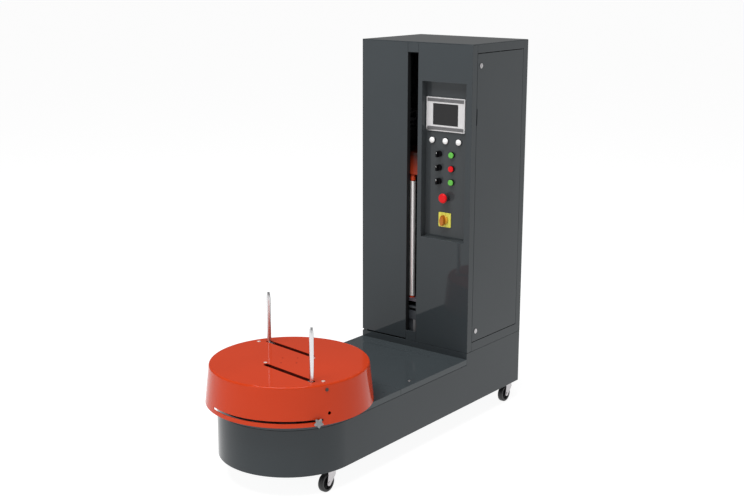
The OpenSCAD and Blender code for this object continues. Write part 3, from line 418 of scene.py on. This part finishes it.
# The softened edge of each node, and of any node that isn't named here
plainEdge = 0.0004
edges = {
    "base_shell": 0.0012, "base_floor": 0,
    "left_panel": 0.0012, "right_front_panel": 0.0012, "slot_plates": 0.0012, "right_side_frame": 0.001,
    "side_door": 0.0012, "rear_panel": 0.0006, "cabinet_top": 0.0012, "turntable_drum": 0.0008,
    "control_tray": 0.0008, "hmi_housing": 0.0012,
    "button_upper_green": 0.0009, "button_red": 0.0009, "button_lower_green": 0.0009,
    "selector_upper": 0.0012, "selector_middle": 0.0012, "selector_lower": 0.0012,
    "pilot_lamps": 0.0008, "estop_head": 0.0016, "carriage_head": 0.0015, "carriage_frame": 0.0008,
}
builtHere = {
    "star_knob", "caster_wheel_1", "caster_wheel_2", "caster_wheel_3", "caster_wheel_4", "lift_screw",
    "main_switch_plate", "main_switch_handle",
}
for name in sorted(set(nodes) - builtHere):
    dress(name, edges.get(name, plainEdge), ownFinish.get(name))
print("nodes dressed")

# Star knob: five pointed lobes round a raised hub
knob = {
    "at": -30.3, "lobes": 5, "steps": 80, "sharp": 1.25, "valley": 0.0118, "point": 0.0190,
    "behind": 0.007, "low": 0.002, "high": 0.0115, "edge": 0.0014,
    "hub": 0.0085, "hubHigh": 0.0138, "hubEdge": 0.002,
}


def buildKnob():
    middle = middleOf("star_knob")
    outward = Vector((cos(radians(knob["at"])), sin(radians(knob["at"])), 0))
    radius = (middle - turntable).dot(outward) - knob["behind"]
    matrix = (
        Matrix.Translation((turntable.x, turntable.y, middle.z))
        @ Matrix.Rotation(radians(knob["at"]), 4, "Z")
        @ Matrix.Translation((radius, 0, 0))
        @ Matrix.Rotation(pi / 2, 4, "Y")
    )
    outline = []
    for i in range(knob["steps"]):
        a = 2 * pi * i / knob["steps"]
        lobe = ((1 + cos(knob["lobes"] * a)) / 2) ** knob["sharp"]
        r = knob["valley"] + (knob["point"] - knob["valley"]) * lobe
        outline.append((r * cos(a), r * sin(a)))
    bm = bmesh.new()
    addPrism(bm, outline, knob["low"], knob["high"], knob["edge"], 3, matrix)
    for v in bm.verts:
        v.tag = True
    hub, top, edge = knob["hub"], knob["hubHigh"], knob["hubEdge"]
    addLathe(bm, [(0, 0), (hub, 0), (hub, top - edge), (hub - edge, top), (0, top)], 32, matrix)
    finishPiece(bm, "starKnobStar", "star_knob", "knob_grey", stands=["star_knob"])


buildKnob()

# Casters: a rounded tread on a ribbed hub
caster = {
    "radius": 0.04, "half": 0.013, "rim": 0.0275, "hub": 0.0115, "bore": 0.0041,
    "curve": 0.006, "curveInset": 0.007, "lip": 0.002, "lipInset": 0.0008, "wallInset": 0.001,
    "dish": 0.004, "web": 0.005, "spokes": 6, "spokeHalf": 0.0012, "spokeFrom": 0.0052, "spokeTo": 0.003,
    "spokeOver": 0.001, "spokeShort": 0.0006, "spokeEdge": 0.0004,
}


def buildWheel(index):
    radius, half, rim, hub = caster["radius"], caster["half"], caster["rim"], caster["hub"]
    body = f"caster_wheel_{index}"
    matrix = Matrix.Translation(middleOf(body)) @ Matrix.Rotation(pi / 2, 4, "Y")
    curve, lip = caster["curve"], caster["lip"]
    wall = [
        (rim, half - lip), (rim + lip, half - caster["lipInset"]),
        (radius - curve, half - caster["wallInset"]),
    ]
    tread = list(wall)
    for i in range(9):
        a = pi / 2 * (1 - i / 4)
        side = 1 if i < 4 else -1 if i > 4 else 0
        tread.append((radius - curve + curve * cos(a), (half - caster["curveInset"]) * side + curve * sin(a)))
    tread += [(r, -z) for r, z in reversed(wall)] + [wall[0]]
    bm = bmesh.new()
    addLathe(bm, tread, 64, matrix)
    finishPiece(bm, f"casterTread{index}", body, "wheel_rubber", stands=[body])

    bore = caster["bore"]
    cap = [(bore, half), (hub, half), (hub, half - caster["dish"]), (rim, half - caster["web"])]
    core = cap + [(r, -z) for r, z in reversed(cap)] + [cap[0]]
    spokeLow = (hub - caster["spokeOver"], -caster["spokeHalf"], half - caster["spokeFrom"])
    spokeHigh = (rim - caster["spokeShort"], caster["spokeHalf"], half - caster["spokeTo"])
    bm = bmesh.new()
    addLathe(bm, core, 48, matrix)
    for side in (-1, 1):
        flip = Matrix.Identity(4) if side > 0 else Matrix.Rotation(pi, 4, "X")
        for i in range(caster["spokes"]):
            spoke = Matrix.Rotation(2 * pi * i / caster["spokes"], 4, "Z")
            before = set(bm.verts)
            addBox(bm, spokeLow, spokeHigh, caster["spokeEdge"])
            fresh = [v for v in bm.verts if v not in before]
            bmesh.ops.transform(bm, matrix=matrix @ flip @ spoke, verts=fresh)
    finishPiece(bm, f"casterCore{index}", body, "wheel_rubber", finishes["black_plastic"])


for index in (1, 2, 3, 4):
    buildWheel(index)
print("knob and casters built")

# Lift screw: a core with a journal and a shoulder at each end, and one helical ridge along it
screw = {
    "root": 0.0086, "crest": 0.0099, "pitch": 0.01, "stepsPerTurn": 20, "sunk": 0.0004,
    "journal": 0.007, "footLong": 0.029, "headLong": 0.016,
    "shoulder": 0.01, "shoulderLong": 0.02, "slope": 0.002, "ridgeFrom": 0.024, "bare": 0.06,
}


def buildScrew():
    low, high = boxOf["lift_screw"]
    centre = middleOf("lift_screw")
    matrix = Matrix.Translation((centre.x, centre.y, 0))
    z0, z1 = low.z + screw["footLong"], high.z - screw["headLong"]
    root, crest, journal, shoulder = screw["root"], screw["crest"], screw["journal"], screw["shoulder"]
    flat = screw["shoulderLong"]
    slope = flat + screw["slope"]
    core = [
        (0, low.z), (journal, low.z), (journal, z0), (shoulder, z0), (shoulder, z0 + flat),
        (root, z0 + slope), (root, z1 - slope),
        (shoulder, z1 - flat), (shoulder, z1), (journal, z1), (journal, high.z), (0, high.z),
    ]
    bm = bmesh.new()
    addLathe(bm, core, 32, matrix)
    pitch = screw["pitch"]
    start = z0 + screw["ridgeFrom"]
    turns = int((z1 - z0 - screw["bare"]) / pitch)
    foot = root - screw["sunk"]
    ridge = [(foot, 0), (crest, pitch * 0.25), (crest, pitch * 0.5), (foot, pitch * 0.75)]
    points = [bm.verts.new((r, 0, start + z)) for r, z in ridge]
    lines = [bm.edges.new(pair) for pair in zip(points, points[1:])]
    steps = screw["stepsPerTurn"] * turns
    bmesh.ops.spin(
        bm, geom=points + lines, cent=(0, 0, 0), axis=(0, 0, 1), dvec=(0, 0, pitch * turns / steps),
        angle=2 * pi * turns, steps=steps,
    )
    bmesh.ops.transform(bm, matrix=matrix, verts=[v for v in bm.verts if not v.tag])
    finishPiece(bm, "liftScrewThread", "lift_screw", "polished_chrome", stands=["lift_screw"])


buildScrew()
print("screw built")

# Touch panel: a ribbed grey bar above and below the screen
touch = {
    "margin": 0.005, "inset": 0.0045, "bar": 0.0155, "rise": 0.0004, "sunk": 0.001, "edge": 0.0003,
    "ribs": 5, "first": 0.0008, "pitch": 0.003, "ribHigh": 0.0016, "ridge": 0.0007,
}


def buildBars():
    low, high = boxOf["hmi_housing"]
    x0, x1 = low.x + touch["margin"], high.x - touch["margin"]
    face, edge = low.y, touch["edge"]
    front = face - touch["rise"]
    bm = bmesh.new()
    for z0 in (low.z + touch["inset"], high.z - touch["inset"] - touch["bar"]):
        addBox(bm, (x0, front, z0), (x1, face + touch["sunk"], z0 + touch["bar"]), edge)
        for i in range(touch["ribs"]):
            z = z0 + touch["first"] + i * touch["pitch"]
            addBox(bm, (x0, front - touch["ridge"], z), (x1, face, z + touch["ribHigh"]), edge)
    finishPiece(bm, "touchBars", "root", "silver_plastic", ribGrey)


buildBars()

# A pale pointer line on the grip of each selector
pointer = {"half": 0.0008, "proud": 0.0001, "sunk": 0.0004, "fromMiddle": 0.003, "fromTip": 0.0018}


def buildPointer(node):
    low, high = boxOf[node]
    middle = middleOf(node)
    start = (middle.x - pointer["half"], low.y - pointer["proud"], middle.z + pointer["fromMiddle"])
    end = (middle.x + pointer["half"], low.y + pointer["sunk"], high.z - pointer["fromTip"])
    bm = bmesh.new()
    addBox(bm, start, end)
    finishPiece(bm, node + "Pointer", bodyOf[node], slotOf[node], finishes["lamp_white"])


for name in ("selector_upper", "selector_middle", "selector_lower"):
    buildPointer(name)

# Main switch: a rounded plate with its block behind, and a round base and a pointed grip on the shaft
switch = {
    "corner": 0.005, "thick": 0.004, "plateEdge": 0.0009,
    "block": 0.025, "blockBack": -0.046, "blockFront": -0.008, "blockEdge": 0.001,
    "neck": 0.011, "neckBack": -0.01, "neckFront": 0.0005,
    "base": 0.0205, "baseBack": 0.0043, "baseFront": 0.0125, "baseEdge": 0.002, "baseSlope": 0.0015,
    "shaft": 0.004, "shaftBack": -0.014, "shaftFront": 0.006,
    "gripLong": 0.0245, "gripWide": 0.0112, "gripFront": 0.0315, "gripSunk": 0.001, "gripEdge": 0.0016,
    "gripSteps": 48, "gripPointed": 0.9, "gripRound": 0.25,
}


def buildSwitch():
    low, high = boxOf["main_switch_plate"]
    middle = middleOf("main_switch_plate")
    half, corner = (high.x - low.x) / 2, switch["corner"]
    matrix = (
        Matrix.Translation((middle.x, low.y + switch["thick"], middle.z)) @ Matrix.Rotation(pi / 2, 4, "X")
    )
    outline = []
    for quarter in range(4):
        x = (half - corner) * (1 if quarter in (0, 3) else -1)
        y = (half - corner) * (1 if quarter in (0, 1) else -1)
        for i in range(7):
            a = pi / 2 * (quarter + i / 6)
            outline.append((x + corner * cos(a), y + corner * sin(a)))
    bm = bmesh.new()
    addPrism(bm, outline, 0, switch["thick"], switch["plateEdge"], 2)
    block = switch["block"]
    addBox(
        bm, (-block, -block, switch["blockBack"]), (block, block, switch["blockFront"]), switch["blockEdge"]
    )
    for v in bm.verts:
        v.tag = True
    neck, back, front = switch["neck"], switch["neckBack"], switch["neckFront"]
    addLathe(bm, [(0, back), (neck, back), (neck, front), (0, front)], 32)
    bmesh.ops.transform(bm, matrix=matrix, verts=bm.verts)
    body = bodyOf["main_switch_plate"]
    finishPiece(bm, "switchPlate", body, "switch_yellow", stands=["main_switch_plate"])

    bm = bmesh.new()
    base, back, top = switch["base"], switch["baseBack"], switch["baseFront"]
    slope = base - switch["baseSlope"]
    addLathe(bm, [(0, back), (base, back), (base, top - switch["baseEdge"]), (slope, top), (0, top)], 48)
    shaft, back, front = switch["shaft"], switch["shaftBack"], switch["shaftFront"]
    addLathe(bm, [(0, back), (shaft, back), (shaft, front), (0, front)], 24)
    bmesh.ops.transform(bm, matrix=matrix, verts=bm.verts)
    body = bodyOf["main_switch_handle"]
    finishPiece(bm, "switchBase", body, "switch_orange", amber, ["main_switch_handle"])

    grip = []
    for i in range(switch["gripSteps"]):
        a = 2 * pi * i / switch["gripSteps"]
        end = switch["gripPointed"] if cos(a) > 0 else switch["gripRound"]
        grip.append((switch["gripWide"] * sin(a) * abs(sin(a)) ** end, switch["gripLong"] * cos(a)))
    bm = bmesh.new()
    addPrism(bm, grip[::-1], top - switch["gripSunk"], switch["gripFront"], switch["gripEdge"], 3)
    bmesh.ops.transform(bm, matrix=matrix, verts=bm.verts)
    finishPiece(bm, "switchGrip", body, "switch_orange")


buildSwitch()

# Film slot: dark strips on both folds as painted shade, an orange ring at the roller's foot, and a dark
# bracket and plate
slotTrim = {
    "thick": 0.0006, "over": 0.0009, "from": 0.0018, "deep": 0.0235, "aboveSill": 0.048, "belowHead": 0.045,
    "ring": 0.0131, "ringBore": 0.0126, "ringHigh": 0.0072, "ringUp": 0.0142,
    "foot": 0.006, "top": 0.0965, "edge": 0.0003,
    "bracketX": (0.0335, 0.0195), "bracketY": (0.0262, 0.0277),
    "plateX": (0.03, 0.012), "plateY": (0.036, 0.0375),
}


def buildSlotTrim():
    front = boxOf["left_panel"][0].y
    sill, head = boxOf["slot_plates"]
    x0, x1 = sill.x, head.x
    thick, over = slotTrim["thick"], slotTrim["over"]
    z0, z1 = sill.z + slotTrim["aboveSill"], head.z - slotTrim["belowHead"]
    bm = bmesh.new()
    # Painted shade: thin dark strips along both folds of the slot
    for left, right in ((x0 - over, x0 - over + thick), (x1 + over - thick, x1 + over)):
        addBox(bm, (left, front + slotTrim["from"], z0), (right, front + slotTrim["deep"], z1))
    finishPiece(bm, "slotShadeStrips", "root", "grey_paint", gasketAndShadeStrip)

    middle = middleOf("guide_roller")
    foot = boxOf["carriage_frame"][0].z + slotTrim["ringUp"]
    place = Matrix.Translation((middle.x, middle.y, foot))
    ring, bore, top = slotTrim["ring"], slotTrim["ringBore"], slotTrim["ringHigh"]
    bm = bmesh.new()
    addLathe(bm, [(bore, 0), (ring, 0), (ring, top), (bore, top), (bore, 0)], 48, place)
    finishPiece(bm, "rollerFootRing", bodyOf["carriage_frame"], "orange_paint")

    box = boxOf["film_cutter_box"][0]
    z0, z1, edge = box.z + slotTrim["foot"], box.z + slotTrim["top"], slotTrim["edge"]
    (xa, xb), (ya, yb) = slotTrim["bracketX"], slotTrim["bracketY"]
    bm = bmesh.new()
    addBox(bm, (x1 - xa, front + ya, z0), (x1 - xb, front + yb, z1), edge)
    finishPiece(bm, "cutterBracket", "root", "cutter_grey", bracketGrey)
    (xa, xb), (ya, yb) = slotTrim["plateX"], slotTrim["plateY"]
    bm = bmesh.new()
    addBox(bm, (x0 - xa, front + ya, z0), (x1 - xb, front + yb, z1), edge)
    finishPiece(bm, "cutterBackPlate", "root", "cutter_grey")


buildSlotTrim()
print("panel details built")

# Rear louvres: a flap folded inwards above each slot
louvre = {
    "columns": (-0.19, 0.06), "long": 0.13, "count": 7, "pitch": 0.028, "fromTop": 0.322,
    "deep": 0.009, "drop": 0.007, "thick": 0.0012, "gap": 0.0001,
}


def buildLouvres():
    inner = boxOf["rear_panel"][0].y - louvre["gap"]
    outer = inner - louvre["deep"]
    first = boxOf["cabinet_top"][1].z - louvre["fromTop"]
    thick, drop = louvre["thick"], louvre["drop"]
    matrix = Matrix(((0, 0, 1, 0), (1, 0, 0, 0), (0, 1, 0, 0), (0, 0, 0, 1)))
    bm = bmesh.new()
    for x in louvre["columns"]:
        for i in range(louvre["count"]):
            z = first + i * louvre["pitch"]
            profile = [(inner, z), (inner, z + thick), (outer, z - drop + thick), (outer, z - drop)]
            addPrism(bm, profile, x, x + louvre["long"], 0, 1, matrix)
    finishPiece(bm, "louvreFlaps", "root", "grey_paint")


buildLouvres()

# Door: a foam gasket and two stiffening ribs on the inner face
doorTrim = {
    "sheet": 0.0031, "inset": 0.03, "pivotSide": 0.055, "wide": 0.009, "thick": 0.0025, "edge": 0.0005,
    "ribs": (0.33, 0.67), "ribWide": 0.03, "ribThick": 0.006, "ribGap": 0.02, "ribEdge": 0.001,
}


def buildDoorTrim():
    low, high = boxOf["side_door"]
    face = high.x - doorTrim["sheet"]
    inset, wide = doorTrim["inset"], doorTrim["wide"]
    y0, y1 = low.y + inset + doorTrim["pivotSide"], high.y - inset
    z0, z1 = low.z + inset, high.z - inset
    strips = (
        ((y0, z0), (y0 + wide, z1)), ((y1 - wide, z0), (y1, z1)),
        ((y0 + wide, z0), (y1 - wide, z0 + wide)), ((y0 + wide, z1 - wide), (y1 - wide, z1)),
    )
    bm = bmesh.new()
    for start, end in strips:
        addBox(bm, (face - doorTrim["thick"], *start), (face, *end), doorTrim["edge"])
    finishPiece(bm, "doorGasket", bodyOf["side_door"], "grey_paint", gasketAndShadeStrip)

    ribFace, gap = face - doorTrim["ribThick"], wide + doorTrim["ribGap"]
    bm = bmesh.new()
    for part in doorTrim["ribs"]:
        z = z0 + (z1 - z0) * part
        addBox(bm, (ribFace, y0 + gap, z), (face, y1 - gap, z + doorTrim["ribWide"]), doorTrim["ribEdge"])
    finishPiece(bm, "doorRibs", bodyOf["side_door"], "grey_paint")


buildDoorTrim()

# Electrical plate: faces for the drives, and levers and terminals on the three rows
electrics = {
    "driveFace": 0.0831, "drives": (0.02, 0.14), "driveUp": 0.9,
    "rowFace": 0.0601, "rows": (0.38, 0.53, 0.68), "first": 0.025, "pitch": 0.034, "count": 8,
}
# Corners as (out of the face, along, up), and the edge's radius
driveParts = {
    "pad": ((-0.001, 0.012, 0.05), (0.001, 0.078, 0.14), 0.0005),
    "screen": ((0.0008, 0.02, 0.108), (0.0016, 0.07, 0.13), 0.0003),
    "key": ((0.0008, 0.022, 0.06), (0.002, 0.033, 0.071), 0.0004),
}
rowParts = {
    "pad": ((-0.001, 0.004, 0.03), (0.0008, 0.023, 0.06), 0.0004),
    "lever": ((0.0006, 0.009, 0.038), (0.004, 0.018, 0.052), 0.0006),
}
keys = {"columns": 3, "rows": 2, "across": 0.018, "up": 0.02}


def addPart(bm, place, part):
    low, high, edge = part
    addBox(bm, place + Vector(low), place + Vector(high), edge)


def buildElectrics():
    low = boxOf["electrical_plate"][0]
    base = boxOf["cabinet_frame"][0].z
    pads, levers, screens = bmesh.new(), bmesh.new(), bmesh.new()
    for y in electrics["drives"]:
        place = Vector((low.x + electrics["driveFace"], low.y + y, base + electrics["driveUp"]))
        addPart(pads, place, driveParts["pad"])
        addPart(screens, place, driveParts["screen"])
        for i in range(keys["columns"]):
            for j in range(keys["rows"]):
                addPart(levers, place + Vector((0, i * keys["across"], j * keys["up"])), driveParts["key"])
    for row, up in enumerate(electrics["rows"]):
        for i in range(electrics["count"]):
            y = low.y + electrics["first"] + i * electrics["pitch"]
            place = Vector((low.x + electrics["rowFace"], y, base + up))
            addPart(pads, place, rowParts["pad"])
            if (i + row) % 2 == 0:
                addPart(levers, place, rowParts["lever"])
    finishPiece(pads, "electricPads", "root", "electrical_grey", bracketGrey)
    finishPiece(levers, "electricLevers", "root", "electrical_grey", finishes["black_plastic"])
    finishPiece(screens, "electricScreens", "root", "electrical_grey", finishes["screen_glass"])


buildElectrics()
print("inside details built")

# A pale floor that glows a little, a soft lamp overhead and a weak one in front
studio = {
    "floorSize": 400.0,
    "floorGlow": 0.92,
    "floorColor": (0.3, 0.3, 0.3),
    "sky": 0.17,
    "top": {"place": (0.1, -1.6, 5.6), "size": 4.5, "power": 300, "target": (0, -0.2, 0.5)},
    "front": {"place": (-0.5, -6.5, 2.4), "size": 3.0, "power": 40, "target": (0, 0, 0.8)},
}


def addStage():
    bm = bmesh.new()
    bmesh.ops.create_grid(bm, x_segments=1, y_segments=1, size=studio["floorSize"] / 2)
    mesh = bpy.data.meshes.new("floor")
    bm.to_mesh(mesh)
    bm.free()
    floor = bpy.data.objects.new("floor", mesh)
    bpy.context.scene.collection.objects.link(floor)
    glow = {
        "Specular IOR Level": 0.0, "Emission Color": (1, 1, 1, 1), "Emission Strength": studio["floorGlow"],
    }
    ground = Paint("floorPaint", studio["floorColor"], 1.0, 0.0, glow)
    mesh.materials.append(ground.material)
    world = bpy.data.worlds.new("studio")
    bpy.context.scene.world = world
    world.use_nodes = True
    # The sky is white where it is seen, and dim where it lights the object
    tree = world.node_tree
    lighting = tree.nodes["Background"]
    lighting.inputs["Color"].default_value = (1, 1, 1, 1)
    lighting.inputs["Strength"].default_value = studio["sky"]
    seen = tree.nodes.new("ShaderNodeBackground")
    seen.inputs["Color"].default_value = (1, 1, 1, 1)
    rays = tree.nodes.new("ShaderNodeLightPath")
    chosen = tree.nodes.new("ShaderNodeMixShader")
    tree.links.new(rays.outputs["Is Camera Ray"], chosen.inputs[0])
    tree.links.new(lighting.outputs[0], chosen.inputs[1])
    tree.links.new(seen.outputs[0], chosen.inputs[2])
    tree.links.new(chosen.outputs[0], tree.nodes["World Output"].inputs["Surface"])


def addLamp(name, place, size, power, target):
    data = bpy.data.lights.new(name, "AREA")
    data.shape = "DISK"
    data.size = size
    data.energy = power
    lamp = bpy.data.objects.new(name, data)
    lamp.location = place
    lamp.rotation_euler = (Vector(target) - Vector(place)).to_track_quat("-Z", "Y").to_euler()
    bpy.context.scene.collection.objects.link(lamp)


addStage()
addLamp("topLamp", **studio["top"])
addLamp("frontLamp", **studio["front"])
bpy.context.scene.view_settings.view_transform = "Standard"
print("stage set")
